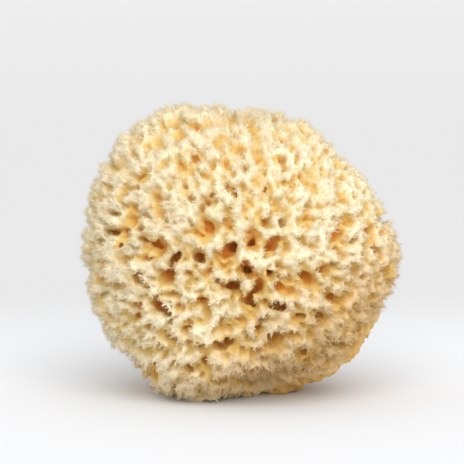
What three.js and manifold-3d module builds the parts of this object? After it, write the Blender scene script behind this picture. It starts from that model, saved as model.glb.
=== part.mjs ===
// A natural wool sponge, as it is sold for the bath: a rounded skeleton of soft fibre, full of canals that
// open at the surface, with tufts standing between their mouths and a flat cut where it grew on the sea floor.
// It grew as one piece, so it is one solid. Millimetres, +Z up, front towards -Y. The origin is on the surface
// that the sponge rests on, under the middle of its outline.

import * as THREE from "three";
import { ConvexHull } from "three/addons/math/ConvexHull.js";
import { mergeVertices } from "three/addons/utils/BufferGeometryUtils.js";
import Module from "manifold-3d";

// Driving dimensions of the whole form
const CENTRE_HEIGHT = 62.5; // middle of the sponge above the cut
const CENTRE_ACROSS = -0.9; // middle of the sponge to the right of the origin
const CENTRE_BACK = -2.4; // and behind it
const HALF_DEPTH = 62; // from the middle to the front or the back
const FULLNESS = 2.15; // 2 is an ellipsoid, more is boxier
const OUTLINE_RADII = [
  // from the middle to the tips of the tufts, as seen from the front, anticlockwise from the right
  70.5, 65.5, 62.5, 64, 62.5, 69.5, 72.5, 70.5, 69, 68.5, 69.5, 72.5, 69.5, 68.5, 69.5, 68.5,
];
const LUMPS = [
  // height of each broad swelling in mm, swellings to a turn along each axis, and its start in radians
  { height: 2.2, along: [3.1, 1.7, -2.3], start: 0.4 },
  { height: 1.8, along: [-2.2, 3.4, 2.9], start: 2.1 },
  { height: 1.4, along: [4.6, -2.1, 3.8], start: 4.4 },
];
const LIFT = {
  // where the underside is hollowed at the front right and stands off the floor: depth in mm, spread in radians
  toward: [0.17, -0.42, -0.89],
  depth: 8,
  spread: 0.26,
};

// The canals whose mouths show from the front: across and up from the middle, mouth radius and depth, in mm
const FRONT_CANALS = [
  [-5.5, -2, 4.5, 14],
  [6.5, 5.5, 4.2, 14],
  [15.5, 2, 3.8, 14],
  [-15, 9, 4.5, 14],
  [2, -8.5, 3.9, 14],
  [8, -15.5, 4, 14],
  [13.5, -11.5, 2.2, 11],
  [-5, -17, 4.2, 14],
  [2.5, -23, 3.5, 14],
  [15.5, -23.5, 3.3, 14],
  [31, -13, 4.8, 14],
  [22.5, -17, 3.2, 9],
  [-18, -3, 4.2, 14],
  [-26.5, -2, 2.8, 12],
  [-34, 2.5, 4.2, 14],
  [-43, -12, 4, 13],
  [-31, -13, 4.2, 13],
  [-35, -23.5, 4.2, 14],
  [-12.5, -12, 2.8, 8],
  [-21, -13, 2.2, 6],
  [-30.5, -39, 3.8, 10],
  [-16, -43, 3.4, 11],
  [-4, -42, 4, 14],
  [-14, -52, 3.8, 13],
  [-24, -52.5, 2.4, 10],
  [-36, -44, 3, 9],
  [1, -30.5, 2.4, 10],
  [9.5, -31, 2.2, 8],
  [27, -28, 3.8, 10],
  [25.5, -36, 2.2, 9],
  [37.5, -30, 2.8, 10],
  [43, -23, 3.8, 10],
  [45, -33, 2.8, 9],
  [52, -35, 3.4, 9],
  [38.5, -7.5, 3.4, 11],
  [50.5, -9, 3, 9],
  [4.5, -45, 2.8, 9],
  [19.5, -51, 2.6, 8],
  [-37.5, -54, 2.6, 7],
  [-22, 39.5, 5.2, 12],
  [-7.5, 37, 3, 10],
  [-18.5, 56, 4, 9],
  [-40, 47, 3.6, 10],
  [-42, 33, 3.6, 11],
  [-50, 27, 3.4, 12],
  [-48, 15.5, 3.6, 12],
  [-34, 16.5, 3.8, 12],
  [-12.5, 25, 3.2, 10],
  [-0.5, 45, 3.8, 10],
  [30.5, 28.5, 4, 11],
  [10.5, 27, 2.6, 10],
  [18, 28, 3, 8],
  [46, 23, 3.2, 10],
  [45.5, 14.5, 3.4, 9],
  [43.5, 39, 3.6, 10],
  [36.5, 35, 2.8, 9],
  [17, 39, 3.4, 7],
  [9, 40, 2.4, 6],
  [19.5, 13, 3.4, 8],
  [27.5, 13, 2.4, 7],
  [-50, 4.5, 3.2, 9],
  [-60, -5, 2.6, 8],
  [-61, 5, 3, 7],
  [-23.5, 27.5, 2.2, 9],
  [8, 33.5, 3, 8],
  [-5, 11, 2.4, 8],
  [-3, 25, 3, 8],
  [10.5, 12, 2.4, 9],
  [59, 8, 2.6, 8],
  [57, 17.5, 2.4, 7],
  [61, -1, 2.4, 6],
  [-54.5, -20, 2.2, 6],
  [-45.5, -24, 2.4, 7],
  [-44.5, -35, 2.2, 6],
  [30, -49, 2.6, 6],
  [53, 28.5, 3, 7],
];
const FRONT_VIEW_TILT = 7; // degrees that the front view looks down by

// The canals all round the rest, laid out by formula
const OTHER_CANALS = 700; // places tried over the whole surface
const OTHER_SPACING = 10.4; // least distance between the middles of two mouths
const OTHER_JITTER = 0.3; // share of the spacing that a place is moved by
const OTHER_MOUTH = [2.5, 4.8]; // smallest and largest mouth radius
const OTHER_DEPTH = [7, 14];
const LOWEST_CANAL = -0.8; // no mouth faces further down than this, where the sponge was cut

// How the surface runs between and into the canals
const FLOOR_SHARE = 0.72; // a canal's floor ring against its mouth
const WALL_DEPTH_SHARE = 0.85; // depth of that ring against the canal's
const MOUTH_SIDES = { small: 6, large: 7, from: 3.6 }; // corners of a mouth, and the radius where it is large
const RIM_DROP = [0.7, 2.6]; // how far a rim lies below the outline
const TUFT_DROP = [0, 0.5]; // how far a tuft's tip, between three canals, lies below it
const SKIN_POINTS = 1750; // places tried for the low ridges and hollows between
const SKIN_DROP = [0.8, 5.2];
const SKIN_CLEARANCE = 2.2; // least distance from such a point to a rim or a tip
const RING_CLEARANCE = 0.8; // least distance between the points of two rings
const LEAST_GAP = 1.4; // least distance from a tuft's tip to a rim

const COLOUR = "#e3c48c";

// A number from 0 to 1 that is always the same for the same counter and salt
function chance(counter, salt) {
  const spun = Math.sin(counter * 12.9898 + salt * 78.233) * 43758.5453;
  return spun - Math.floor(spun);
}

function between([low, high], share) {
  return low + (high - low) * share;
}

// Distance from the middle to the outline at an angle, by a smooth closed curve through the radii
function outlineRadius(angle) {
  const count = OUTLINE_RADII.length;
  const turn = (((angle / (2 * Math.PI)) % 1) + 1) % 1;
  const place = turn * count;
  const at = Math.floor(place);
  const t = place - at;
  const radius = (step) => OUTLINE_RADII[(at + step + count) % count];
  const [before, start, end, after] = [-1, 0, 1, 2].map(radius);
  const slope = end - before;
  const bend = 2 * before - 5 * start + 4 * end - after;
  const twist = 3 * (start - end) + after - before;
  return start + 0.5 * t * (slope + t * (bend + t * twist));
}

// Distance from the middle to the tufts' tips in a direction
function envelope(direction) {
  const { x, y, z } = direction;
  const across = Math.hypot(x, z);
  const outline = outlineRadius(Math.atan2(z, x));
  const spread = (across / outline) ** FULLNESS + (Math.abs(y) / HALF_DEPTH) ** FULLNESS;
  const form = spread ** (-1 / FULLNESS);
  const waves = LUMPS.map(({ height, along, start }) => {
    return height * Math.sin(along[0] * x + along[1] * y + along[2] * z + start);
  });
  const off = Math.hypot(x - LIFT.toward[0], y - LIFT.toward[1], z - LIFT.toward[2]);
  const lift = LIFT.depth * Math.exp(-((off / LIFT.spread) ** 2));
  return form + waves.reduce((sum, wave) => sum + wave, 0) * y * y - lift;
}

// The direction of a point of the front as the front view shows it, by walking its line of sight to the surface
function frontDirection(across, up) {
  const tilt = THREE.MathUtils.degToRad(FRONT_VIEW_TILT);
  const sight = new THREE.Vector3(0, Math.cos(tilt), -Math.sin(tilt));
  const upward = new THREE.Vector3(0, Math.sin(tilt), Math.cos(tilt));
  const onPlane = upward.multiplyScalar(up).add(new THREE.Vector3(across, 0, 0));
  let near = -HALF_DEPTH * 2;
  let far = 0;
  for (let halving = 0; halving < 30; halving++) {
    const middle = (near + far) / 2;
    const point = onPlane.clone().addScaledVector(sight, middle);
    const outside = point.length() > envelope(point.clone().normalize());
    if (outside) near = middle;
    else far = middle;
  }
  return onPlane.addScaledVector(sight, far).normalize();
}

// Direction number i of count spread evenly over a sphere, in a spiral
function spiralDirection(i, count) {
  const golden = Math.PI * (3 - Math.sqrt(5));
  const z = 1 - (2 * i + 1) / count;
  const across = Math.sqrt(1 - z * z);
  return new THREE.Vector3(Math.cos(golden * i) * across, Math.sin(golden * i) * across, z);
}

function surfacePoint(direction) {
  return direction.clone().multiplyScalar(envelope(direction));
}

// Every canal: its direction, its place at the surface, its mouth radius and its depth
function makeCanals() {
  const canals = FRONT_CANALS.map(([across, up, mouth, depth]) => {
    const direction = frontDirection(across, up);
    return { direction, place: surfacePoint(direction), mouth, depth };
  });
  for (let i = 0; i < OTHER_CANALS; i++) {
    const shake = (salt) => (chance(i, salt) - 0.5) * 2 * OTHER_JITTER * (OTHER_SPACING / HALF_DEPTH);
    const direction = spiralDirection(i, OTHER_CANALS)
      .add(new THREE.Vector3(shake(1), shake(2), shake(3)))
      .normalize();
    const place = surfacePoint(direction);
    const clear = canals.every((other) => other.place.distanceTo(place) > OTHER_SPACING);
    if (direction.z > LOWEST_CANAL && clear) {
      const mouth = between(OTHER_MOUTH, chance(i, 4));
      canals.push({ direction, place, mouth, depth: between(OTHER_DEPTH, chance(i, 5)) });
    }
  }
  return canals;
}

// Triangles between directions, by the hull of their points on a sphere, as triples of places in the list
function spannedTriangles(directions) {
  const places = new Map(directions.map((direction, i) => [direction, i]));
  return new ConvexHull().setFromPoints(directions).faces.map((face) => {
    const corners = [face.edge, face.edge.next, face.edge.next.next];
    return corners.map((edge) => places.get(edge.head().point));
  });
}

// Adds points to a list, each a direction and its distance from the middle, unless one is already near
class Surface {
  constructor() {
    this.points = [];
  }

  add(direction, drop, gap) {
    const place = surfacePoint(direction);
    if (this.points.every((point) => point.place.distanceTo(place) > gap)) {
      const distance = envelope(direction) - drop;
      this.points.push({ direction: direction.clone(), place, distance });
    }
  }
}

// A ring of directions round a canal's own, at a distance from it in mm
function ringAround(canal, radius, sides, turn) {
  const side = new THREE.Vector3(0.31, 0.87, 0.39).cross(canal.direction).normalize();
  const other = canal.direction.clone().cross(side);
  const reach = radius / canal.place.length();
  return Array.from({ length: sides }, (_, k) => {
    const angle = ((k + turn) / sides) * 2 * Math.PI;
    return canal.direction
      .clone()
      .addScaledVector(side, Math.cos(angle) * reach)
      .addScaledVector(other, Math.sin(angle) * reach)
      .normalize();
  });
}

function inSomeMouth(canals, direction, margin) {
  const place = surfacePoint(direction);
  return canals.some((canal) => canal.place.distanceTo(place) < canal.mouth + margin);
}

// Where two mouths run into each other, each leaves out the points that lie in the other
function addCanal(surface, canals, number) {
  const canal = canals[number];
  const sides = canal.mouth < MOUTH_SIDES.from ? MOUTH_SIDES.small : MOUTH_SIDES.large;
  const turn = chance(number, 6);
  const others = canals.filter((other) => other !== canal);
  const isClear = (direction) => !inSomeMouth(others, direction, RING_CLEARANCE);
  const ring = (radius) => ringAround(canal, radius, sides, turn).filter(isClear);
  surface.add(canal.direction, canal.depth, 0);
  for (const direction of ring(canal.mouth * FLOOR_SHARE)) {
    surface.add(direction, canal.depth * WALL_DEPTH_SHARE, RING_CLEARANCE);
  }
  ring(canal.mouth).forEach((direction, k) => {
    surface.add(direction, between(RIM_DROP, chance(number * 11 + k, 7)), RING_CLEARANCE);
  });
}

// A tuft's tip stands in the middle of each three neighbouring canals
function addTufts(surface, canals) {
  spannedTriangles(canals.map((canal) => canal.direction)).forEach((triple, i) => {
    const direction = triple
      .reduce((sum, c) => sum.add(canals[c].direction), new THREE.Vector3())
      .normalize();
    if (!inSomeMouth(canals, direction, LEAST_GAP)) {
      surface.add(direction, between(TUFT_DROP, chance(i, 8)), LEAST_GAP);
    }
  });
}

function addSkin(surface, canals) {
  for (let i = 0; i < SKIN_POINTS; i++) {
    const direction = spiralDirection(i, SKIN_POINTS);
    if (!inSomeMouth(canals, direction, LEAST_GAP)) {
      surface.add(direction, between(SKIN_DROP, chance(i, 9)), SKIN_CLEARANCE);
    }
  }
}

function makeWholeSolid(wasm) {
  const canals = makeCanals();
  const surface = new Surface();
  canals.forEach((canal, number) => addCanal(surface, canals, number));
  addTufts(surface, canals);
  addSkin(surface, canals);
  const { points } = surface;
  const triangles = spannedTriangles(points.map((point) => point.direction));
  const middle = new THREE.Vector3(CENTRE_ACROSS, CENTRE_BACK, CENTRE_HEIGHT);
  const corners = points.flatMap(({ direction, distance }) =>
    direction.clone().multiplyScalar(distance).add(middle).toArray(),
  );
  return new wasm.Manifold(
    new wasm.Mesh({
      numProp: 3,
      vertProperties: new Float32Array(corners),
      triVerts: new Uint32Array(triangles.flat()),
    }),
  );
}

// Everything under the surface that the sponge rests on, which the cut took away
function makeBelowCut(wasm) {
  const side = HALF_DEPTH * 4;
  const box = new THREE.BoxGeometry(side, side, side).translate(0, 0, -side / 2);
  box.deleteAttribute("normal");
  box.deleteAttribute("uv");
  const closed = mergeVertices(box);
  return new wasm.Manifold(
    new wasm.Mesh({
      numProp: 3,
      vertProperties: closed.attributes.position.array,
      triVerts: new Uint32Array(closed.index.array),
    }),
  );
}

function geometryOf(solid) {
  const { vertProperties, triVerts } = solid.getMesh();
  const geometry = new THREE.BufferGeometry();
  geometry.setAttribute("position", new THREE.BufferAttribute(vertProperties, 3));
  geometry.setIndex(new THREE.BufferAttribute(triVerts, 1));
  geometry.computeVertexNormals();
  return geometry;
}

async function makeSponge() {
  const wasm = await Module();
  wasm.setup();
  const solid = makeWholeSolid(wasm).subtract(makeBelowCut(wasm));
  const material = new THREE.MeshStandardMaterial({ color: COLOUR, roughness: 0.95, metalness: 0 });
  const sponge = new THREE.Mesh(geometryOf(solid), material);
  sponge.name = "sponge";
  return sponge;
}

const group = new THREE.Group();
group.add(await makeSponge());
export default group;
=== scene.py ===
"""A natural wool sponge for the bath: tufts and canals grown as one mesh, with fibre on its crests."""

import math

import bpy
import numpy as np
from bpy.props import FloatProperty, FloatVectorProperty, IntProperty, PointerProperty
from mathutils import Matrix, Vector


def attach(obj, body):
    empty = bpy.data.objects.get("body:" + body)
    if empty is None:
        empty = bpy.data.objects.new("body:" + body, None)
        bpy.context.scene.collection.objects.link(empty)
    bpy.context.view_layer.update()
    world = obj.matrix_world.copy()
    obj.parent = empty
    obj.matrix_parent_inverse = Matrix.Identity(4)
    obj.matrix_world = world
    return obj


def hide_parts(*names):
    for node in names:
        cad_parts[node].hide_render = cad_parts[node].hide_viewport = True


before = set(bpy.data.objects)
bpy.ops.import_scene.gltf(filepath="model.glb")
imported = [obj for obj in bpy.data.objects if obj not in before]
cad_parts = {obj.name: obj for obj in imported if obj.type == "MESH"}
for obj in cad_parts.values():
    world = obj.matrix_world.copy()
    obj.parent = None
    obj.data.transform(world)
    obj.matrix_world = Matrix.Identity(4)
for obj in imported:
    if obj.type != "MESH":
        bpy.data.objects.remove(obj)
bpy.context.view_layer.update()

bl_info = {
    "name": "Sea Sponge",
    "version": (1, 0, 0),
    "blender": (4, 5, 0),
    "location": "View3D > Sidebar > Sponge",
    "description": "Builds a natural bath sponge with its canals, tufts and loose fibre",
    "category": "Object",
}

MM = 0.001
SEED = 11
ROOT = "root"
NODE = "sponge"
BODY_NAME = "sponge_body"

# The form, in millimetres from the sponge's middle: the solid's, but lifted more at the lower right
MIDDLE = np.array([-0.9, -2.4, 62.5])
HALF_DEPTH = 62.0
FULLNESS = 2.15  # 2 is an ellipsoid, more is boxier
# Radii of the outline, anticlockwise from the right as seen from the front
OUTLINE_RADII = np.array(
    [70.5, 65.5, 62.5, 64, 62.5, 69.5, 72.5, 70.5, 69, 68.5, 69.5, 72.5, 69.5, 68.5, 69.5, 68.5]
)
# Swellings of the front and back: height, waves along x, y and z, and where the waves start
LUMPS = [
    (2.2, (3.1, 1.7, -2.3), 0.4),
    (1.8, (-2.2, 3.4, 2.9), 2.1),
    (1.4, (4.6, -2.1, 3.8), 4.4),
]
# The lower right is lifted off the floor: the direction of the lift, its depth and its spread
LIFT_TOWARD = (0.17, -0.42, -0.89)
LIFT_DEPTH = 10.0
LIFT_SPREAD = 0.31
FRONT_VIEW_TILT = math.radians(7)  # how far down the view looks in which FRONT_CANALS are measured

# The block that the body is grown in: all of the sponge and a little below the floor
GRID_LOW = np.array([-72.5, -66.0, -66.5])
GRID_HIGH = np.array([73.0, 66.0, 68.0])

# The direction that ridges and tufts radiate from over the surface
FLOW = np.array([0.148, -0.984, -0.098], np.float32)

# The canals that show from the front: across and up from the middle, mouth radius and depth
FRONT_CANALS = [
    (-5.5, -2, 4.5, 14), (6.5, 5.5, 4.2, 14), (15.5, 2, 3.8, 14), (-15, 9, 4.5, 14),
    (2, -8.5, 3.9, 14), (8, -15.5, 4, 14), (13.5, -11.5, 2.2, 11), (-5, -17, 4.2, 14),
    (2.5, -23, 3.5, 14), (15.5, -23.5, 3.3, 14), (31, -13, 4.8, 14), (22.5, -17, 3.2, 9),
    (-18, -3, 4.2, 14), (-26.5, -2, 2.8, 12), (-34, 2.5, 4.2, 14), (-43, -12, 4, 13),
    (-31, -13, 4.2, 13), (-35, -23.5, 4.2, 14), (-12.5, -12, 2.8, 8), (-21, -13, 2.2, 6),
    (-30.5, -39, 3.8, 10), (-16, -43, 3.4, 11), (-4, -42, 4, 14), (-14, -52, 3.8, 13),
    (-24, -52.5, 2.4, 10), (-36, -44, 3, 9), (1, -30.5, 2.4, 10), (9.5, -31, 2.2, 8),
    (27, -28, 3.8, 10), (25.5, -36, 2.2, 9), (37.5, -30, 2.8, 10), (43, -23, 3.8, 10),
    (45, -33, 2.8, 9), (52, -35, 3.4, 9), (38.5, -7.5, 3.4, 11), (50.5, -9, 3, 9),
    (4.5, -45, 2.8, 9), (19.5, -51, 2.6, 8), (-37.5, -54, 2.6, 7), (-22, 39.5, 5.2, 12),
    (-7.5, 37, 3, 10), (-18.5, 56, 4, 9), (-40, 47, 3.6, 10), (-42, 33, 3.6, 11),
    (-50, 27, 3.4, 12), (-48, 15.5, 3.6, 12), (-34, 16.5, 3.8, 12), (-12.5, 25, 3.2, 10),
    (-0.5, 45, 3.8, 10), (30.5, 28.5, 4, 11), (10.5, 27, 2.6, 10), (18, 28, 3, 8),
    (46, 23, 3.2, 10), (45.5, 14.5, 3.4, 9), (43.5, 39, 3.6, 10), (36.5, 35, 2.8, 9),
    (17, 39, 3.4, 7), (9, 40, 2.4, 6), (19.5, 13, 3.4, 8), (27.5, 13, 2.4, 7),
    (-50, 4.5, 3.2, 9), (-60, -5, 2.6, 8), (-61, 5, 3, 7), (-23.5, 27.5, 2.2, 9),
    (8, 33.5, 3, 8), (-5, 11, 2.4, 8), (-3, 25, 3, 8), (10.5, 12, 2.4, 9),
    (59, 8, 2.6, 8), (57, 17.5, 2.4, 7), (61, -1, 2.4, 6), (-54.5, -20, 2.2, 6),
    (-45.5, -24, 2.4, 7), (-44.5, -35, 2.2, 6), (30, -49, 2.6, 6), (53, 28.5, 3, 7),
]

# The canals laid out by formula over the rest
OTHER_CANALS = 700  # places tried over the whole surface
OTHER_SPACING = 10.4  # least distance between the middles of two mouths
OTHER_JITTER = 0.3  # how far a place is off the even spread, in spacings
OTHER_MOUTH = (2.5, 4.8)  # smallest and largest mouth radius
OTHER_DEPTH = (7, 14)  # shallowest and deepest
LOWEST_CANAL = -0.8  # no mouth faces further down than this

# How canals run: those in front lean forward, all bend sideways, and their walls are uneven
CANAL_FORWARD = 0.8
CANAL_BEND = 0.075
CANAL_OVAL = (0.6, 1.6)  # how much the squared distance from the axis counts along the bend and across it
CANAL_FLOOR = 0.4  # width at the bottom against the mouth's radius
CANAL_TAPER = 0.9  # what is added to it at the mouth
CANAL_NOISE = ((3.4, 1.5), (1.7, 1.1))  # spacing and height of each layer of noise

# A turn off all three axes, which hides the marks of a square lattice
TURN = np.array([[0.36, 0.48, -0.8], [-0.8, 0.6, 0.0], [0.48, 0.64, 0.6]], np.float32)

# The relief between the canals, in millimetres
WARPS = ((9.0, 1.1), (4.0, 0.45))  # spacing and height of the noise that bends all forms
MEAN_RADIUS = 65
INWARD_SHARE = 0.35  # how fast folds change going inward, against going along the surface
COMBING = 0.60  # how far folds are drawn out along the flow, and how much more so where they are tufts
TUFT_COMBING = 0.10
FOLD_SPACING = 3.2
FOLD_EDGE = 0.22  # valleys start where the noise is below this
FOLD_SPAN = 0.75  # and have their depth where it is this much lower
PATCH_SPACING = 9  # between patches with more folds and with fewer
DEEPER_SPACING = 14  # between patches with deeper folds and with shallower
DENT_SPACING = 1.8
SWELL_SPACING = 11
SHOULDER_DROP = 1.2
SKIN_DROP = 1.2
SWELL_HEIGHT = 0.9
RIM_BLEND = 2.5  # how near a canal's rim is rounded
RIM_ROUNDING = 0.62
KNOBS = ((2.4, 0.6), (1.45, 0.7))  # spacing and height of each layer of small knobs
KNOB_MEAN = 0.7  # their mean height, taken off again
ROUGH_REACH = 2.4  # only points this near the surface are roughened
STREAKS_ROUND = 45  # fine streaks per unit of direction
STREAK_LENGTH = 10
STREAK_HEIGHT = 0.9

# How the painted shade follows depth, in millimetres: golden and then red-brown deeper in, where less light
# reaches
CROWDING_REACH = 1.6  # half the width of the box in which the fibre round a point is counted
CROWDING_MEAN = 0.47  # about how full that box is at a flat surface
CREASE_SHADE_DEPTH = 9  # depth added in proportion to what the box holds above that, for painted shade in creases and paler crests
WALL_SHADE_DEPTH = 7.5  # painted golden shade is full from here on
DEEP_SHADE_DEPTHS = (7.5, 14.0)  # from golden to red-brown painted shade

# The fibre on the crests: how many in each piece, and the least height over the floor, in millimetres
BUNDLES = 7500
HAIRS = 64000
FIBRE_HEIGHT = 1.5

# What the camera aims at, how far off it stands, how far down it looks and how wide its picture is there
CAMERA_TARGET = (-4.2 * MM, 0, 71 * MM)
CAMERA_DISTANCE = 1.25
CAMERA_TILT = math.radians(6.5)
FRAME_WIDTH = 0.204

# The stage is painted a little bluer under the sponge, against the warm light bounced off it, and painted
# darker further back, as shade where less light falls:
# where each darker stretch starts and is full, in metres, and its share of the stage's colour
NEAR_FLOOR_TINT = (1.0, 1.015, 1.035)
STAGE_PAINTED_SHADE = ((0.10, 0.34, 0.864), (0.9, 2.8, 0.882))

SCATTER = (0.9, 0.6, 0.28)  # how far red, green and blue scatter in the fibre, in steps of SCATTER_SCALE
SCATTER_SCALE = 3.0 * MM


class SpongeSizes(bpy.types.PropertyGroup):
    """Sizes of the fibrous body and its loose fibre"""

    cell: FloatProperty(
        name="Cell", description="Step of the grid that the body is grown on",
        default=0.6 * MM, min=0.5 * MM, max=3 * MM, unit="LENGTH", precision=4,
    )
    valley_depth: FloatProperty(
        name="Valley depth", description="How far the valleys between the tufts reach in, on the whole",
        default=5.0 * MM, min=1 * MM, max=10 * MM, unit="LENGTH", precision=4,
    )
    raggedness: FloatProperty(
        name="Raggedness", description="How far the tufts' surface is roughened",
        default=0.9 * MM, min=0, max=3 * MM, unit="LENGTH", precision=4,
    )
    body_triangles: IntProperty(
        name="Body triangles", description="Triangles that the body is reduced to",
        default=192000, min=20000, max=199000,
    )
    fray_length: FloatProperty(
        name="Fray length", description="Length of the longest frayed bundles of fibre",
        default=3.0 * MM, min=0.5 * MM, max=6 * MM, unit="LENGTH", precision=4,
    )
    hair_length: FloatProperty(
        name="Hair length", description="Length of the longest single fibres",
        default=3.2 * MM, min=0.5 * MM, max=8 * MM, unit="LENGTH", precision=4,
    )


class SpongeColours(bpy.types.PropertyGroup):
    """Colours of the sponge and the stage"""

    tip: FloatVectorProperty(
        name="Tips", description="Colour of the tufts' tips",
        subtype="COLOR", size=3, min=0, max=1, default=(0.875, 0.785, 0.58),
    )
    # The wall and deep colours are painted shade: golden a few millimetres inside and red-brown at the
    # bottom of the canals, where less light reaches
    wall: FloatVectorProperty(
        name="Wall shade", description="Colour a few millimetres inside",
        subtype="COLOR", size=3, min=0, max=1, default=(0.73, 0.505, 0.16),
    )
    deep: FloatVectorProperty(
        name="Deep", description="Colour at the bottom of the canals",
        subtype="COLOR", size=3, min=0, max=1, default=(0.68, 0.245, 0.035),
    )
    skin: FloatVectorProperty(
        name="Skin", description="Colour of the smooth skin near the cut",
        subtype="COLOR", size=3, min=0, max=1, default=(0.60, 0.325, 0.055),
    )
    stage: FloatVectorProperty(
        name="Stage", description="Colour of the floor and backdrop",
        subtype="COLOR", size=3, min=0, max=1, default=(0.765, 0.765, 0.77),
    )


def chance(counter, salt):
    """A number from 0 to 1 that is always the same for the same counter and salt."""
    spun = np.sin(np.asarray(counter, float) * 12.9898 + salt * 78.233) * 43758.5453
    return spun - np.floor(spun)


def unit(vectors):
    """Vectors brought to length 1."""
    return vectors / np.linalg.norm(vectors, axis=-1, keepdims=True)


def smooth_step(low, high, value):
    """From 0 at the low value to 1 at the high one, without corners."""
    share = np.clip((value - low) / (high - low), 0, 1)
    return share * share * (3 - 2 * share)


def outline_radius(angle):
    """From the middle to the outline at an angle, by a smooth closed curve through the radii."""
    count = len(OUTLINE_RADII)
    place = (angle / (2 * math.pi)) % 1 * count
    at = np.floor(place).astype(int)
    t = place - at
    before, start, end, after = (OUTLINE_RADII[(at + step) % count] for step in (-1, 0, 1, 2))
    slope = end - before
    bend = 2 * before - 5 * start + 4 * end - after
    twist = 3 * (start - end) + after - before
    return start + 0.5 * t * (slope + t * (bend + t * twist))


def envelope(x, y, z):
    """From the middle to the tufts' tips in a direction."""
    outline = outline_radius(np.arctan2(z, x))
    across = np.sqrt(x * x + z * z)
    spread = (across / outline) ** FULLNESS + (np.abs(y) / HALF_DEPTH) ** FULLNESS
    swelling = sum(
        height * np.sin(along[0] * x + along[1] * y + along[2] * z + start)
        for height, along, start in LUMPS
    )
    off = (x - LIFT_TOWARD[0]) ** 2 + (y - LIFT_TOWARD[1]) ** 2 + (z - LIFT_TOWARD[2]) ** 2
    lift = LIFT_DEPTH * np.exp(-off / LIFT_SPREAD ** 2)
    return spread ** (-1 / FULLNESS) + swelling * y * y - lift


def reach(directions):
    """From the middle to the tufts' tips, for rows of directions."""
    return envelope(*directions.T)


def front_directions(across, up):
    """The directions of points of the front as the front view shows them."""
    sight = np.array([0, math.cos(FRONT_VIEW_TILT), -math.sin(FRONT_VIEW_TILT)])
    upward = np.array([0, math.sin(FRONT_VIEW_TILT), math.cos(FRONT_VIEW_TILT)])
    plane = up[:, None] * upward + across[:, None] * np.array([1, 0, 0])
    near = np.full(len(across), -2 * HALF_DEPTH)
    far = np.zeros(len(across))
    for _ in range(30):
        middle = (near + far) / 2
        points = plane + middle[:, None] * sight
        outside = np.linalg.norm(points, axis=1) > reach(unit(points))
        near = np.where(outside, middle, near)
        far = np.where(outside, far, middle)
    return unit(plane + far[:, None] * sight)


def spiral_directions(count):
    """Directions spread evenly over a sphere."""
    steps = np.arange(count)
    turns = math.pi * (3 - math.sqrt(5)) * steps
    z = 1 - (2 * steps + 1) / count
    across = np.sqrt(1 - z * z)
    return np.stack([np.cos(turns) * across, np.sin(turns) * across, z], 1)


def canals():
    """Every canal's direction, mouth radius and depth."""
    across, up, mouths, depths = np.array(FRONT_CANALS, float).T
    directions = list(front_directions(across, up))
    mouths, depths = list(mouths), list(depths)
    places = [d * reach(d[None])[0] for d in directions]
    steps = np.arange(OTHER_CANALS)
    shakes = np.stack([chance(steps, salt) - 0.5 for salt in (1, 2, 3)], 1)
    shaken = spiral_directions(OTHER_CANALS) + shakes * 2 * OTHER_JITTER * OTHER_SPACING / HALF_DEPTH
    for step, direction in enumerate(unit(shaken)):
        place = direction * reach(direction[None])[0]
        clear = np.linalg.norm(np.array(places) - place, axis=1).min() > OTHER_SPACING
        if direction[2] > LOWEST_CANAL and clear:
            directions.append(direction)
            places.append(place)
            mouths.append(np.interp(chance(step, 4), (0, 1), OTHER_MOUTH))
            depths.append(np.interp(chance(step, 5), (0, 1), OTHER_DEPTH))
    return np.array(directions), np.array(mouths), np.array(depths)


def spline_weights(axis, wavelength, offset):
    """Weights that spread values given every wavelength smoothly over an axis."""
    place = (axis - axis[0]) / wavelength + offset
    at = np.floor(place).astype(int)
    t = place - at
    weights = np.zeros((len(axis), at[-1] + 4), np.float32)
    rows = np.arange(len(axis))
    weights[rows, at] = (1 - t) ** 3 / 6
    weights[rows, at + 1] = (3 * t ** 3 - 6 * t ** 2 + 4) / 6
    weights[rows, at + 2] = (-3 * t ** 3 + 3 * t ** 2 + 3 * t + 1) / 6
    weights[rows, at + 3] = t ** 3 / 6
    return weights


def grid_noise(axes, wavelength, random):
    """Smooth random values from about -1 to 1 over the whole grid."""
    along_x, along_y, along_z = (spline_weights(axis, wavelength, random.random()) for axis in axes)
    counts = [weights.shape[1] for weights in (along_x, along_y, along_z)]
    values = random.uniform(-2.4, 2.4, counts).astype(np.float32)
    values = np.tensordot(along_x, values, (1, 0))
    values = np.tensordot(values, along_y, (1, 1))
    return np.tensordot(values, along_z, (1, 1))


def point_noise(points, random, size=48):
    """Smooth random values from -1 to 1 at points given in wavelengths."""
    lattice = random.uniform(-1, 1, (size, size, size)).astype(np.float32)
    at = np.floor(points).astype(int)
    t = (points - at).astype(np.float32)
    t = t * t * (3 - 2 * t)
    total = np.zeros(points.shape[:-1], np.float32)
    for corner in np.ndindex(2, 2, 2):
        index = (at + corner) % size
        share = np.prod(np.where(corner, t, 1 - t), axis=-1)
        total += share * lattice[index[..., 0], index[..., 1], index[..., 2]]
    return total


def two_way_noise(points, random):
    """Smooth random values at points given in wavelengths, without the marks of a square lattice."""
    turned = 1.13 * (points @ TURN)
    return 0.75 * (point_noise(points, random) + point_noise(turned, random))


def knob_noise(points, random, size=32):
    """Round knobs, from 0 in the creases to 1 in the middle of each, at points given in spacings."""
    middles = random.random((size, size, size, 3)).astype(np.float32)
    at = np.floor(points).astype(np.int32)
    share = (points - at).astype(np.float32)
    nearest = np.full(len(points), 9, np.float32)
    for step in np.ndindex(3, 3, 3):
        step = np.array(step, np.int32) - 1
        place = (at + step) % size
        gap = middles[place[:, 0], place[:, 1], place[:, 2]] + (step - share)
        nearest = np.minimum(nearest, (gap * gap).sum(1))
    return np.sqrt(np.clip(1 - nearest / 0.72, 0, 1))


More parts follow.
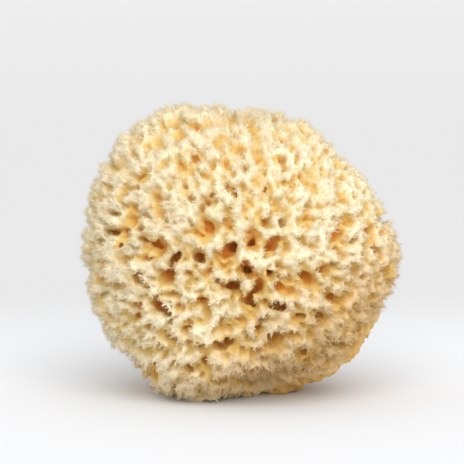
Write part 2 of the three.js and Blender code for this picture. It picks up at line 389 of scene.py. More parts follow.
def skin_share(x, y, z):
    """How far the surface is smooth skin in a direction: low on the flanks, most on the right."""
    sideways = 0.78 * np.maximum(x, 0) + 0.35 * np.maximum(-x, 0)
    backward = 0.75 * np.minimum(y, 0) + 0.3 * np.maximum(y, 0)
    return smooth_step(0.74, 1.12, -z + sideways + backward)


def tan_share(x, y, z):
    """How far the fibre has the skin's tan in a direction: more the lower it lies."""
    return np.maximum(0.9 * skin_share(x, y, z), 0.6 * smooth_step(0.15, 1.05, 0.7 * x - z))


def tufted_share(x, y, z):
    """How far the surface is long tufts in a direction: at the top and on the left."""
    return smooth_step(-0.15, 0.5, 0.6 * z - 0.75 * x + 0.4 * y + 0.1)


def pebbly_share(x, y, z):
    """How far the surface is small dents and knobs in a direction: on the right."""
    return smooth_step(-0.1, 0.75, x - 0.25 * y + 0.35 * z)


class Grid:
    """A block of evenly spaced points round the sponge, in millimetres from its middle."""

    def __init__(self, cell):
        counts = np.ceil((GRID_HIGH - GRID_LOW) / cell).astype(int)
        self.cell = cell
        self.low = GRID_LOW
        self.axes = [self.low[k] + cell * np.arange(counts[k]) for k in range(3)]
        self.shape = tuple(counts)

    def read(self, values, points):
        """The values at the grid's points nearest to some points."""
        places = np.clip(np.rint((points - self.low) / self.cell).astype(int), 0, np.array(self.shape) - 1)
        return values[tuple(places.T)]

    def block(self, low, high):
        """The slices that hold a box."""
        first = np.maximum(np.floor((low - self.low) / self.cell).astype(int), 0)
        last = np.ceil((high - self.low) / self.cell).astype(int) + 1
        return tuple(slice(a, max(a, min(b, n))) for a, b, n in zip(first, last, self.shape))


def carved_relief(valley_depth, across, packed, mouths, tufted, pebbly, skin, random):
    """How far in folds, dents and swells reach at points near the surface, and the swells alone."""
    upper = smooth_step(0.3, 0.75, across[:, 2] / packed)
    combed = across - ((COMBING + TUFT_COMBING * tufted) * (across @ FLOW))[:, None] * FLOW
    folds = two_way_noise(combed / FOLD_SPACING, random)
    folds = folds + 0.35 * two_way_noise(across / PATCH_SPACING, random) + 0.10
    folds -= 0.12 * mouths
    valley = np.clip((FOLD_EDGE - folds) / FOLD_SPAN, 0, 1.3) ** 1.3
    deepness = valley_depth * (1 + 0.4 * two_way_noise(across / DEEPER_SPACING, random))
    deepness *= 1 - 0.15 * pebbly
    deepness *= (0.85 + 0.1 * tufted) * (1 - 0.35 * upper)
    shoulders = SHOULDER_DROP * smooth_step(0.45, 0.05, folds)
    lumps = two_way_noise(combed / DENT_SPACING, random)
    dents = smooth_step(0.10, -0.25, lumps) * (1.0 + 0.2 * pebbly - 0.3 * upper)
    swell = SWELL_HEIGHT * (1 + two_way_noise(across / SWELL_SPACING, random))
    drop = (deepness * valley + shoulders + dents) * (1 - 0.65 * skin) + swell * (1 - skin)
    return drop + SKIN_DROP * skin, swell


def roughness(places, directions, radii, skin, random):
    """Small knobs, which skin has few of, and streaks that run outward, at points near the surface."""
    (spacing, height), (finer, lower) = KNOBS
    knobs = height * knob_noise(places / spacing, random)
    knobs = knobs + lower * knob_noise(places / finer, random) - KNOB_MEAN
    streaked = directions * STREAKS_ROUND
    streaked[:, 2] += radii / STREAK_LENGTH
    return knobs * (1 - 0.8 * skin) + STREAK_HEIGHT * point_noise(streaked, random)


def grow_field(sizes):
    """The solid as numbers on a grid, positive inside, and how far each point lies in a hollow or crease,
    for its painted shade.
    """
    grid = Grid(sizes.cell / MM)
    random = np.random.default_rng(SEED)
    x, y, z = np.meshgrid(*grid.axes, indexing="ij", sparse=True)
    radius = np.sqrt(x * x + y * y + z * z).astype(np.float32) + 1e-3
    toward = [(v / radius).astype(np.float32) for v in (x, y, z)]
    depth = envelope(*toward).astype(np.float32) - radius
    skin = skin_share(*toward)
    warps = [sum(height * grid_noise(grid.axes, spacing, random) for spacing, height in WARPS)
             for _ in range(3)]
    warped = [(v + warp).astype(np.float32) for v, warp in zip((x, y, z), warps)]
    mouths, hollow, hidden = canal_fields(grid, warped, random)

    # The relief is worked out only where it can reach the surface
    valley_depth = sizes.valley_depth / MM
    shell = (depth < valley_depth * 1.5 + 7) & (depth > -4)
    packed = MEAN_RADIUS + INWARD_SHARE * (radius[shell] - MEAN_RADIUS)
    across = np.stack([v[shell] for v in toward], 1) * packed[:, None]
    tufted, pebbly = tufted_share(*toward)[shell], pebbly_share(*toward)[shell]
    near_skin = skin[shell]
    drop, swell = carved_relief(
        valley_depth, across, packed, mouths[shell], tufted, pebbly, near_skin, random
    )
    # Points low in the folds count as deeper too: they are smoother and get more painted shade
    hidden[shell] = np.maximum(hidden[shell], drop - swell - SKIN_DROP * near_skin - 0.8)
    solid = depth.copy()
    solid[shell] = depth[shell] - drop
    blend = np.clip(1 - np.abs(solid + hollow) / RIM_BLEND, 0, 1)
    base = np.minimum(solid, -hollow) - RIM_ROUNDING * blend * blend

    # The deeper inside, the smoother
    close = shell & (np.abs(base) < ROUGH_REACH)
    fade = np.clip(1.15 - 0.13 * hidden[close], 0.2, 1)
    places, directions = (np.stack([v[close] for v in triple], 1) for triple in (warped, toward))
    rough = roughness(places, directions, radius[close], skin[close], random)
    base[close] += sizes.raggedness / MM * fade * rough
    solid = np.minimum(base, z + MIDDLE[2]).astype(np.float32)
    # Painted shade in creases: where the fibre round a point is crowded, the point counts as deeper and
    # more golden; on open crests it counts as shallower and paler
    full = crowding(solid, round(CROWDING_REACH / grid.cell))
    hidden += CREASE_SHADE_DEPTH * np.clip(full - CROWDING_MEAN, -0.15, 0.4)
    return grid, solid, hidden


def crowding(solid, half):
    """How full the space round each point is, from 0 in the open to 1 inside."""
    filled = (solid > 0).astype(np.float32)
    for axis in (0, 1, 2, 0, 1, 2):
        total = np.cumsum(filled, axis)
        edge = [(0, 0)] * 3
        edge[axis] = (half + 1, half)
        total = np.pad(total, edge, mode="edge")
        count = filled.shape[axis]
        high = [slice(None)] * 3
        low = [slice(None)] * 3
        high[axis], low[axis] = slice(2 * half + 1, 2 * half + 1 + count), slice(0, count)
        filled = (total[tuple(high)] - total[tuple(low)]) / (2 * half + 1)
    return filled


def canal_fields(grid, warped, random):
    """How near a canal's mouth each point is, from 0 to 1, how far inside its wall and how far down it."""
    mouths = np.zeros(grid.shape, np.float32)
    hidden = np.zeros(grid.shape, np.float32)
    hollow = np.full(grid.shape, -40, np.float32)
    for number, (direction, mouth, deep) in enumerate(zip(*canals())):
        outer = direction * reach(direction[None])[0]
        deep = deep * (1 - 0.4 * smooth_step(0.1, 0.6, direction[2])) * (1 - 0.2 * tufted_share(*direction))
        frontal = smooth_step(0.05, 0.35, direction @ FLOW)
        direction = unit(direction + CANAL_FORWARD * frontal * FLOW)
        # Only the block round the canal is worked out
        side = 2.4 * mouth + 4
        ends = np.stack([outer + direction * 3, outer - direction * (deep + 2)])
        block = grid.block(ends.min(0) - side, ends.max(0) + side)
        vx, vy, vz = (warped[k][block] - outer[k] for k in range(3))
        along = -(vx * direction[0] + vy * direction[1] + vz * direction[2])
        lean = np.array([chance(number, salt) for salt in (35, 36, 37)]) - 0.5
        lean = unit(lean - direction * (lean @ direction))
        bend = np.maximum(along, 0) ** 1.5 * CANAL_BEND
        vx, vy, vz = (v - bend * shift for v, shift in zip((vx, vy, vz), lean))
        broadwise = vx * lean[0] + vy * lean[1] + vz * lean[2]
        narrow = vx * vx + vy * vy + vz * vz - along * along - broadwise * broadwise
        away = np.sqrt(np.maximum(CANAL_OVAL[0] * broadwise * broadwise + CANAL_OVAL[1] * narrow, 0))
        width = mouth * (CANAL_FLOOR + CANAL_TAPER * np.clip(1 - along / deep, 0, 1.1))
        hollow[block] = np.maximum(hollow[block], np.minimum(width - away, (deep - along) * 0.6))
        mouths[block] = np.maximum(mouths[block], np.exp(-(away / (1.35 * mouth + 0.8)) ** 2))
        hidden[block] = np.maximum(hidden[block], np.where(away < width + 2, along, 0))
    hollow += sum(height * grid_noise(grid.axes, spacing, random) for spacing, height in CANAL_NOISE)
    return mouths, hollow, hidden


def surface_of(grid, solid):
    """Points and four-cornered faces where the field changes sign."""
    inside = solid > 0
    cells = tuple(n - 1 for n in grid.shape)
    corners = [(i, j, k) for i in (0, 1) for j in (0, 1) for k in (0, 1)]

    def corner_of(array, corner):
        return array[tuple(slice(c, c + n) for c, n in zip(corner, cells))]

    count = sum(corner_of(inside, corner).astype(np.int8) for corner in corners)
    mixed = (count > 0) & (count < 8)
    where = np.argwhere(mixed)
    values = np.stack([solid[tuple((where + corner).T)] for corner in corners], 1)
    total = np.zeros((len(where), 3), np.float32)
    crossings = np.zeros(len(where), np.float32)
    for a, first in enumerate(corners):
        for b, last in enumerate(corners):
            step = np.subtract(last, first)
            if step.min() < 0 or step.sum() != 1:
                continue
            crosses = (values[:, a] > 0) != (values[:, b] > 0)
            share = np.where(crosses, values[:, a] / (values[:, a] - values[:, b] + 1e-12), 0)
            total += crosses[:, None] * (np.array(first) + share[:, None] * step)
            crossings += crosses
    points = (where + total / crossings[:, None]) * grid.cell + grid.low
    number = np.full(cells, -1, np.int32)
    number[mixed] = np.arange(len(where))

    faces = []
    for axis in range(3):
        here = [slice(None)] * 3
        there = [slice(None)] * 3
        here[axis], there[axis] = slice(0, -1), slice(1, None)
        one, two = inside[tuple(here)], inside[tuple(there)]
        left, right = (axis + 1) % 3, (axis + 2) % 3
        edges = np.argwhere(one != two)
        room = np.all([(edges[:, k] > 0) & (edges[:, k] < cells[k]) for k in (left, right)], axis=0)
        edges = edges[room]
        leaves = one[tuple(edges.T)]
        quad = []
        for back_left, back_right in ((1, 1), (0, 1), (0, 0), (1, 0)):
            cell = edges.copy()
            cell[:, left] -= back_left
            cell[:, right] -= back_right
            quad.append(number[tuple(cell.T)])
        quad = np.stack(quad, 1)
        quad[~leaves] = quad[~leaves][:, ::-1]
        faces.append(quad)
    return points, np.concatenate(faces)


def largest_part(points, faces):
    """Leaves out what isn't joined to the largest part, such as crumbs and closed bubbles."""
    label = np.arange(len(points))
    ends = np.concatenate([faces[:, [0, 1]], faces[:, [1, 2]], faces[:, [2, 3]]])
    while True:
        low = np.minimum(label[ends[:, 0]], label[ends[:, 1]])
        fresh = label.copy()
        np.minimum.at(fresh, ends[:, 0], low)
        np.minimum.at(fresh, ends[:, 1], low)
        fresh = fresh[fresh]
        if np.array_equal(fresh, label):
            break
        label = fresh
    kept = label == np.bincount(label).argmax()
    renumber = np.cumsum(kept) - 1
    return points[kept], renumber[faces[kept[faces[:, 0]]]]


def mesh_object(name, points, faces):
    """A smooth-shaded mesh from points in millimetres from the sponge's middle."""
    corners = faces.shape[1]
    mesh = bpy.data.meshes.new(name)
    mesh.vertices.add(len(points))
    mesh.vertices.foreach_set("co", ((points + MIDDLE) * MM).astype(np.float32).ravel())
    mesh.loops.add(faces.size)
    mesh.loops.foreach_set("vertex_index", faces.astype(np.int32).ravel())
    mesh.polygons.add(len(faces))
    mesh.polygons.foreach_set("loop_start", np.arange(0, faces.size, corners, dtype=np.int32))
    mesh.update(calc_edges=True)
    mesh.validate()
    mesh.shade_smooth()
    made = bpy.data.objects.new(name, mesh)
    bpy.context.scene.collection.objects.link(made)
    return made


def points_of(made):
    """Points and normals of a mesh, in millimetres from the sponge's middle."""
    mesh = made.data
    points = np.empty(len(mesh.vertices) * 3, np.float32)
    normals = np.empty(len(mesh.vertices) * 3, np.float32)
    mesh.vertices.foreach_get("co", points)
    mesh.vertex_normals.foreach_get("vector", normals)
    return points.reshape(-1, 3) / MM - MIDDLE, normals.reshape(-1, 3)


def store(made, name, values):
    """Keeps a value for each point of a mesh, for its material to read."""
    attribute = made.data.attributes.new(name, "FLOAT", "POINT")
    attribute.data.foreach_set("value", np.asarray(values, np.float32).ravel())


def finish_piece(made, material):
    """Gives a piece its material and its place in the part."""
    made.data.materials.append(material)
    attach(made, ROOT)


def three_corners(centres, along, thick):
    """Corners of three-sided sections round some centres, square to their directions."""
    aside = np.where(np.abs(along[:, 2:]) < 0.8, [[0.0, 0.0, 1.0]], [[1.0, 0.0, 0.0]])
    across = unit(np.cross(along, aside))
    upward = np.cross(along, across)
    angles = [turn * 2 * math.pi / 3 for turn in range(3)]
    return [centres + (across * math.cos(a) + upward * math.sin(a)) * thick[:, None] for a in angles]


def limbs(starts, middles, ends, thick, thin):
    """Three-sided tapered limbs that run from starts over middles to ends, nine triangles each."""
    along = unit(middles - starts)
    corners = [*three_corners(starts, along, thick), *three_corners(middles, along, thin), ends]
    pattern = []
    for turn in range(3):
        after = (turn + 1) % 3
        pattern += [(turn, after, 3 + after), (turn, 3 + after, 3 + turn), (3 + turn, 3 + after, 6)]
    faces = np.array(pattern)[None] + 7 * np.arange(len(starts))[:, None, None]
    return np.stack(corners, 1).reshape(-1, 3), faces.reshape(-1, 3)


def spikes(starts, ends, thick):
    """Three-sided spikes, three triangles each."""
    corners = [*three_corners(starts, unit(ends - starts), thick), ends]
    faces = np.array([(0, 1, 3), (1, 2, 3), (2, 0, 3)])[None] + 4 * np.arange(len(starts))[:, None, None]
    return np.stack(corners, 1).reshape(-1, 3), faces.reshape(-1, 3)


def random_units(random, count):
    """Random directions."""
    return unit(random.normal(size=(count, 3)))


def above_floor(points):
    """Lifts what would reach into the floor onto it."""
    points[:, 2] = np.maximum(points[:, 2], 0.05 - MIDDLE[2])
    return points


def add_node(tree, kind, place, **values):
    """A new shader node at a place, with its settings."""
    node = tree.nodes.new(kind)
    node.location = place
    for name, value in values.items():
        setattr(node, name, value)
    return node


def fibre_group():
    """Colour and fine relief of fibre: pale tips, painted golden shade on the walls, painted red-brown
    shade in the depths, and tan skin.
    """
    if "Fibre" in bpy.data.node_groups:
        return bpy.data.node_groups["Fibre"]
    group = bpy.data.node_groups.new("Fibre", "ShaderNodeTree")
    face = group.interface
    for name in ("Tip", "Wall", "Deep", "Skin"):
        face.new_socket(name=name, in_out="INPUT", socket_type="NodeSocketColor")
    for name in ("Grain Size", "Mottle"):
        face.new_socket(name=name, in_out="INPUT", socket_type="NodeSocketFloat")
    face.new_socket(name="Colour", in_out="OUTPUT", socket_type="NodeSocketColor")
    face.new_socket(name="Height", in_out="OUTPUT", socket_type="NodeSocketFloat")

    entry = add_node(group, "NodeGroupInput", (-1200, 0))
    leave = add_node(group, "NodeGroupOutput", (900, 0))
    place = add_node(group, "ShaderNodeTexCoord", (-1200, -500))
    depth = add_node(group, "ShaderNodeAttribute", (-1200, 400), attribute_name="depth")
    skin = add_node(group, "ShaderNodeAttribute", (-1200, 200), attribute_name="skin")
    patches = add_node(group, "ShaderNodeTexNoise", (-900, -400))
    patches.inputs["Scale"].default_value = 190
    patches.inputs["Detail"].default_value = 3
    grain = add_node(group, "ShaderNodeTexNoise", (-900, -700))
    grain.inputs["Detail"].default_value = 4
    grain.inputs["Roughness"].default_value = 0.65
    link = group.links.new

    # Noise drawn out from the middle outward, as combed fibre
    from_middle = add_node(group, "ShaderNodeVectorMath", (-1200, -900), operation="SUBTRACT")
    from_middle.inputs[1].default_value = tuple(MIDDLE * MM)
    outward = add_node(group, "ShaderNodeVectorMath", (-1000, -900), operation="NORMALIZE")
    drawn_out = add_node(group, "ShaderNodeVectorMath", (-800, -900), operation="MULTIPLY_ADD")
    drawn_out.inputs[1].default_value = (0.065, 0.065, 0.065)
    lengthwise = add_node(group, "ShaderNodeVectorMath", (-1000, -1100), operation="SCALE")
    lengthwise.inputs["Scale"].default_value = 0.12
    streaks = add_node(group, "ShaderNodeTexNoise", (-600, -900))
    streaks.inputs["Scale"].default_value = 1100
    streaks.inputs["Detail"].default_value = 2
    link(place.outputs["Object"], from_middle.inputs[0])
    link(from_middle.outputs[0], outward.inputs[0])
    link(from_middle.outputs[0], lengthwise.inputs[0])
    link(outward.outputs[0], drawn_out.inputs[0])
    link(lengthwise.outputs[0], drawn_out.inputs[2])
    link(drawn_out.outputs[0], streaks.inputs["Vector"])
    both = add_node(group, "ShaderNodeMix", (-400, -700))
    both.inputs["Factor"].default_value = 0.55
    link(grain.outputs["Fac"], both.inputs[2])
    link(streaks.outputs["Fac"], both.inputs[3])
    link(place.outputs["Object"], patches.inputs["Vector"])
    link(place.outputs["Object"], grain.inputs["Vector"])
    link(entry.outputs["Grain Size"], grain.inputs["Scale"])

    # The share of each colour, by a depth made uneven: the deeper, the more painted golden and red-brown
    # shade
    uneven = add_node(group, "ShaderNodeMath", (-700, 300), operation="MULTIPLY_ADD")
    uneven.inputs[1].default_value = 2.0
    link(patches.outputs["Fac"], uneven.inputs[0])
    link(depth.outputs["Fac"], uneven.inputs[2])
    wall_shade = add_node(group, "ShaderNodeMapRange", (-450, 300), interpolation_type="SMOOTHSTEP")
    wall_shade.inputs["From Min"].default_value, wall_shade.inputs["From Max"].default_value = 0, WALL_SHADE_DEPTH
    link(uneven.outputs[0], wall_shade.inputs["Value"])
    deep_shade = add_node(group, "ShaderNodeMapRange", (-450, 0), interpolation_type="SMOOTHSTEP")
    deep_shade.inputs["From Min"].default_value, deep_shade.inputs["From Max"].default_value = DEEP_SHADE_DEPTHS
    link(uneven.outputs[0], deep_shade.inputs["Value"])

    colour = entry.outputs["Tip"]
    shares = (wall_shade.outputs["Result"], deep_shade.outputs["Result"], skin.outputs["Fac"])
    for step, (name, share) in enumerate(zip(("Wall", "Deep", "Skin"), shares)):
        mix = add_node(group, "ShaderNodeMix", (-150 + 200 * step, 200), data_type="RGBA")
        link(share, mix.inputs["Factor"])
        link(colour, mix.inputs[6])
        link(entry.outputs[name], mix.inputs[7])
        colour = mix.outputs[2]

    # Mottling by the grain
    spread = add_node(group, "ShaderNodeMapRange", (-450, -500))
    spread.inputs["From Min"].default_value = 0.3
    spread.inputs["From Max"].default_value = 0.7
    spread.inputs["To Max"].default_value = 1.0
    less = add_node(group, "ShaderNodeMath", (-700, -600), operation="SUBTRACT")
    less.inputs[0].default_value = 1.0
    link(entry.outputs["Mottle"], less.inputs[1])
    link(less.outputs[0], spread.inputs["To Min"])
    link(both.outputs[0], spread.inputs["Value"])
    shade = add_node(group, "ShaderNodeVectorMath", (600, 0), operation="SCALE")
    link(colour, shade.inputs[0])
    link(spread.outputs["Result"], shade.inputs["Scale"])
    link(shade.outputs[0], leave.inputs["Colour"])
    link(both.outputs[0], leave.inputs["Height"])
    return group


def fibre_material(name, grain_size, mottle, glow=0, bump_height=0, tint=(1, 1, 1)):
    """Matte fibre. Glow is the share of light that scatters inside. The tint is for the tips alone."""
    colours = bpy.context.scene.sponge_colours
    material = bpy.data.materials.new(name)
    material.use_nodes = True
    tree = material.node_tree
    shader = tree.nodes["Principled BSDF"]
    shader.inputs["Roughness"].default_value = 0.88
    shader.inputs["Specular IOR Level"].default_value = 0.25
    shader.inputs["Subsurface Weight"].default_value = glow
    shader.inputs["Subsurface Radius"].default_value = SCATTER
    shader.inputs["Subsurface Scale"].default_value = SCATTER_SCALE
    fibre = add_node(tree, "ShaderNodeGroup", (-500, 200), node_tree=fibre_group())
    fibre.inputs["Tip"].default_value = (*[c * share for c, share in zip(colours.tip, tint)], 1)
    fibre.inputs["Wall"].default_value = (*colours.wall, 1)
    fibre.inputs["Deep"].default_value = (*colours.deep, 1)
    fibre.inputs["Skin"].default_value = (*colours.skin, 1)
    fibre.inputs["Grain Size"].default_value = grain_size
    fibre.inputs["Mottle"].default_value = mottle
    tree.links.new(fibre.outputs["Colour"], shader.inputs["Base Color"])
    if bump_height:
        bump = add_node(tree, "ShaderNodeBump", (-250, -200))
        bump.inputs["Strength"].default_value = 0.6
        bump.inputs["Distance"].default_value = bump_height
        tree.links.new(fibre.outputs["Height"], bump.inputs["Height"])
        tree.links.new(bump.outputs["Normal"], shader.inputs["Normal"])
    return material


def stage_material():
    """Pale paper, painted a little darker behind the sponge than under it, as shade where less light falls,
    and a little bluer under it, against the warm light bounced off the sponge.
    """
    material = bpy.data.materials.new("stage_paper")
    material.use_nodes = True
    tree = material.node_tree
    shader = tree.nodes["Principled BSDF"]
    shader.inputs["Roughness"].default_value = 0.9
    shader.inputs["Specular IOR Level"].default_value = 0.1
    place = add_node(tree, "ShaderNodeTexCoord", (-1000, 0))
    back = add_node(tree, "ShaderNodeSeparateXYZ", (-800, 0))
    tree.links.new(place.outputs["Object"], back.inputs[0])
    colour = bpy.context.scene.sponge_colours.stage
    base = add_node(tree, "ShaderNodeRGB", (-600, 300))
    base.outputs[0].default_value = (*[c * share for c, share in zip(colour, NEAR_FLOOR_TINT)], 1)
    shown = base.outputs[0]
    # Painted shade: darker stretches further back along the stage
    for step, (first, last, share) in enumerate(STAGE_PAINTED_SHADE):
        far = add_node(tree, "ShaderNodeMapRange", (-600, -300 * step), interpolation_type="SMOOTHSTEP")
        far.inputs["From Min"].default_value = first
        far.inputs["From Max"].default_value = last
        mix = add_node(tree, "ShaderNodeMix", (-300 + 200 * step, 0), data_type="RGBA")
        mix.inputs[7].default_value = (*[c * share for c in colour], 1)
        tree.links.new(back.outputs["Y"], far.inputs["Value"])
        tree.links.new(far.outputs["Result"], mix.inputs["Factor"])
        tree.links.new(shown, mix.inputs[6])
        shown = mix.outputs[2]
    tree.links.new(shown, shader.inputs["Base Color"])
    return material


def add_light(name, data, toward):
    """Adds a light that shines from a direction."""
    light = bpy.data.objects.new(name, data)
    light.rotation_mode = "QUATERNION"
    light.rotation_quaternion = Vector(toward).to_track_quat("Z", "Y")
    bpy.context.scene.collection.objects.link(light)
    return light


def area_light(name, place, target, size, power):
    """A round soft lamp at a place, aimed at a target."""
    data = bpy.data.lights.new(name, "AREA")
    data.shape = "DISK"
    data.size = size
    data.energy = power
    add_light(name, data, Vector(place) - Vector(target)).location = place


def sun_light(name, toward, strength, spread):
    """Soft daylight from a direction."""
    data = bpy.data.lights.new(name, "SUN")
    data.energy = strength
    data.angle = spread
    add_light(name, data, toward)


class SPONGE_OT_stage(bpy.types.Operator):
    """Set the camera, the pale sweep and the soft lights"""

    bl_idname = "sponge.stage"
    bl_label = "Set the stage"

    def execute(self, context):
        target = Vector(CAMERA_TARGET)
        camera = bpy.data.cameras.new("camera")
        camera.sensor_width = 36
        camera.lens = camera.sensor_width * CAMERA_DISTANCE / FRAME_WIDTH
        view = bpy.data.objects.new("camera", camera)
        backward = Vector((0, -math.cos(CAMERA_TILT), math.sin(CAMERA_TILT)))
        view.location = target + backward * CAMERA_DISTANCE
        view.rotation_mode = "QUATERNION"
        view.rotation_quaternion = (target - view.location).to_track_quat("-Z", "Y")
        context.scene.collection.objects.link(view)
        context.scene.camera = view

        # A floor that bends up into a backdrop, in metres
        half, front, back, height, bend = 6.0, -3.0, 8.0, 6.0, 2.0
        turns = [math.radians(a) for a in range(0, 91, 6)]
        profile = [(front, 0.0)] + [
            (back - bend + bend * math.sin(a), bend - bend * math.cos(a)) for a in turns
        ] + [(back, height)]
        points = [(side * half, y, z) for y, z in profile for side in (-1, 1)]
        faces = [(2 * i, 2 * i + 1, 2 * i + 3, 2 * i + 2) for i in range(len(profile) - 1)]
        mesh = bpy.data.meshes.new("sweep")
        mesh.from_pydata(points, [], faces)
        mesh.shade_smooth()
        mesh.materials.append(stage_material())
        sweep = bpy.data.objects.new("sweep", mesh)
        context.scene.collection.objects.link(sweep)

        area_light("overhead", (0.15, -0.2, 1.2), target=(0, 0, 0.06), size=1.0, power=1.0)
        sun_light("daylight", (0.13, -1.0, 0.64), strength=2.52, spread=math.radians(60))
        world = bpy.data.worlds.new("room")
        world.use_nodes = True
        background = world.node_tree.nodes["Background"]
        background.inputs["Color"].default_value = (1, 1, 1, 1)
        background.inputs["Strength"].default_value = 0.755
        context.scene.world = world
        context.scene.view_settings.view_transform = "Standard"
        return {"FINISHED"}


class SPONGE_OT_body(bpy.types.Operator):
    """Grow the body with its tufts, crevices and canals as one closed mesh"""

    bl_idname = "sponge.body"
    bl_label = "Grow the body"

    def execute(self, context):
        sizes = context.scene.sponge_sizes
        grid, solid, hidden = grow_field(sizes)
        points, faces = largest_part(*surface_of(grid, solid))
        if len(faces) < 1000:
            raise RuntimeError("the body has almost no surface; use a smaller cell")
        full = mesh_object("full_body", points, faces)
        reduce = full.modifiers.new("reduce", "DECIMATE")
        reduce.ratio = min(1, sizes.body_triangles / (2 * len(faces)))
        depsgraph = context.evaluated_depsgraph_get()
        mesh = bpy.data.meshes.new_from_object(full.evaluated_get(depsgraph))
        mesh.name = BODY_NAME
        bpy.data.objects.remove(full)
        body = bpy.data.objects.new(BODY_NAME, mesh)
        context.scene.collection.objects.link(body)
        points, _ = points_of(body)
        # How deep each point lies, which the material paints as golden and red-brown shade
        store(body, "depth", grid.read(hidden, points))
        store(body, "skin", tan_share(*unit(points).T))
        material = fibre_material(
            "sponge_fibre", grain_size=900, mottle=0.14, glow=0.8, bump_height=0.4 * MM
        )
        finish_piece(body, material)
        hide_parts(NODE)
        return {"FINISHED"}


def front_share(x, y, z):
    """How near a direction is to the front's middle, where the rims are frayed most."""
    return smooth_step(0.25, 0.8, -0.05 * x - 0.93 * y - 0.28 * z)


def anywhere(x, y, z):
    """The same share in every direction."""
    return np.ones_like(x)


def sharpness_of(body, points, normals):
    """How far each point of a mesh stands out from the middle of its neighbours, in millimetres."""
    edges = np.empty(len(body.data.edges) * 2, np.int32)
    body.data.edges.foreach_get("vertices", edges)
    one, two = edges.reshape(-1, 2).T
    sums = np.zeros_like(points)
    counts = np.bincount(edges, minlength=len(points))
    for axis in range(3):
        sums[:, axis] += np.bincount(one, points[two, axis], len(points))
        sums[:, axis] += np.bincount(two, points[one, axis], len(points))
    outward = points - sums / np.maximum(counts, 1)[:, None]
    return np.clip((outward * normals).sum(1), 0, 0.6)


def crest_places(random, count, deepest, sharpness, favours):
    """Points of the body with normals and depths: more on sharp crests and in favoured directions."""
    body = bpy.data.objects[BODY_NAME]
    points, normals = points_of(body)
    depths = np.empty(len(points), np.float32)
    body.data.attributes["depth"].data.foreach_get("value", depths)
    shown = (depths < deepest) & (points[:, 2] > FIBRE_HEIGHT - MIDDLE[2])
    toward = unit(points).T
    bare = np.clip(1 - 1.3 * skin_share(*toward), 0, 1)
    weights = shown * (sharpness_of(body, points, normals) + 0.03) ** sharpness * bare
    weights = weights * (0.15 + favours(*toward))
    picked = random.choice(len(points), count, p=weights / weights.sum())
    return points[picked], normals[picked], depths[picked]


class SPONGE_OT_fray(bpy.types.Operator):
    """Add the frayed bundles of fibre on the crests and rims"""

    bl_idname = "sponge.fray"
    bl_label = "Fray the crests"

    def execute(self, context):
        length = context.scene.sponge_sizes.fray_length / MM
        material = fibre_material("frayed_fibre", grain_size=1500, mottle=0.10, tint=(1.05, 1.02, 0.96))
        count = BUNDLES
        for number, favours in ((1, front_share), (2, anywhere)):
            random = np.random.default_rng(SEED + number)
            starts, normals, depths = crest_places(random, count, 3.5, 1.8, favours)
            outward = unit(starts)
            # Each bundle bends halfway, where a twig leaves it
            aim = unit(0.5 * normals + 0.45 * outward + 0.6 * random_units(random, count))
            half = (length * (0.25 + 0.75 * random.random(count) ** 1.7) * 0.5)[:, None]
            middles = starts + aim * half
            bent = unit(aim + 0.7 * random_units(random, count) + 0.2 * outward)
            thick = 0.13 + 0.25 * random.random(count) ** 1.5
            ends = middles + bent * half
            bundles, bundle_faces = limbs(starts - aim * 0.5, middles, ends, thick, thick * 0.62)
            twig = unit(aim + 1.2 * random_units(random, count))
            twigs, twig_faces = spikes(middles - twig * 0.15, middles + twig * half * 0.84, thick * 0.5)
            points = above_floor(np.concatenate([bundles, twigs]))
            faces = np.concatenate([bundle_faces, twig_faces + len(bundles)])
            piece = mesh_object(f"frayed_crests_{number}", points, faces)
            # Painted shade along each bundle: its root counts a millimetre deeper than the body there, its
            # middle half a millimetre deeper, and its twig 0.3 mm deeper
            along = np.tile([0, 0, 0, 0.5, 0.5, 0.5, 1], count)
            depths = np.concatenate([np.repeat(depths, 7) + 1 - along, np.repeat(depths, 4) + 0.3])
            tan = tan_share(*outward.T)
            store(piece, "depth", depths)
            store(piece, "skin", np.concatenate([np.repeat(tan, 7), np.repeat(tan, 4)]))
            finish_piece(piece, material)
        return {"FINISHED"}


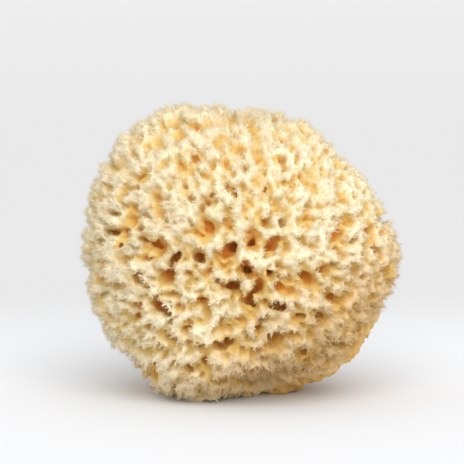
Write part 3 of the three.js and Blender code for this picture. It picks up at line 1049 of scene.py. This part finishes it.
class SPONGE_OT_hairs(bpy.types.Operator):
    """Add the single loose fibres that make the outline soft"""

    bl_idname = "sponge.hairs"
    bl_label = "Add loose fibres"

    def execute(self, context):
        length = context.scene.sponge_sizes.hair_length / MM
        material = fibre_material("loose_fibre", grain_size=1500, mottle=0.05, tint=(1.05, 1.0, 0.92))
        count = HAIRS
        for number, favours in ((1, anywhere), (2, tufted_share), (3, tufted_share)):
            random = np.random.default_rng(SEED + 7 + number)
            starts, normals, depths = crest_places(random, count, 4.0, 0.6, favours)
            outward = unit(starts)
            # Combed along the surface, away from the front's middle
            combed = unit(outward * (outward @ FLOW)[:, None] - FLOW)
            aim = unit(0.45 * normals + 0.45 * outward + 0.45 * combed + 0.5 * random_units(random, count))
            reach_out = length * (0.2 + 0.8 * random.random(count) ** 2.5)
            thick = 0.04 + 0.04 * random.random(count)
            points, faces = spikes(starts - aim * 0.3, starts + aim * reach_out[:, None], thick)
            piece = mesh_object(f"loose_fibres_{number}", above_floor(points), faces)
            # Painted shade at each fibre's root: its base counts a millimetre deeper than the body there,
            # while its tip counts as deep as the body
            store(piece, "depth", np.repeat(depths, 4) + np.tile([1.0, 1.0, 1.0, 0], count))
            store(piece, "skin", np.repeat(tan_share(*outward.T), 4))
            finish_piece(piece, material)
        return {"FINISHED"}


class SPONGE_PT_panel(bpy.types.Panel):
    """Sizes, colours and the steps that build the sponge"""

    bl_label = "Sea Sponge"
    bl_idname = "SPONGE_PT_panel"
    bl_space_type = "VIEW_3D"
    bl_region_type = "UI"
    bl_category = "Sponge"

    def draw(self, context):
        layout = self.layout
        for group in (context.scene.sponge_sizes, context.scene.sponge_colours):
            box = layout.box()
            for name in group.__annotations__:
                box.prop(group, name)
        for operator in OPERATORS:
            layout.operator(operator.bl_idname)


OPERATORS = (SPONGE_OT_stage, SPONGE_OT_body, SPONGE_OT_fray, SPONGE_OT_hairs)
CLASSES = (SpongeSizes, SpongeColours, *OPERATORS, SPONGE_PT_panel)


def register():
    """Adds the panel, its settings and its operators."""
    for kind in CLASSES:
        bpy.utils.register_class(kind)
    bpy.types.Scene.sponge_sizes = PointerProperty(type=SpongeSizes)
    bpy.types.Scene.sponge_colours = PointerProperty(type=SpongeColours)


def unregister():
    """Takes out what register adds."""
    del bpy.types.Scene.sponge_colours
    del bpy.types.Scene.sponge_sizes
    for kind in reversed(CLASSES):
        bpy.utils.unregister_class(kind)


def main():
    """Builds the stage and the sponge."""
    register()
    bpy.ops.sponge.stage()
    bpy.ops.sponge.body()
    bpy.ops.sponge.fray()
    bpy.ops.sponge.hairs()


if __name__ == "__main__":
    main()
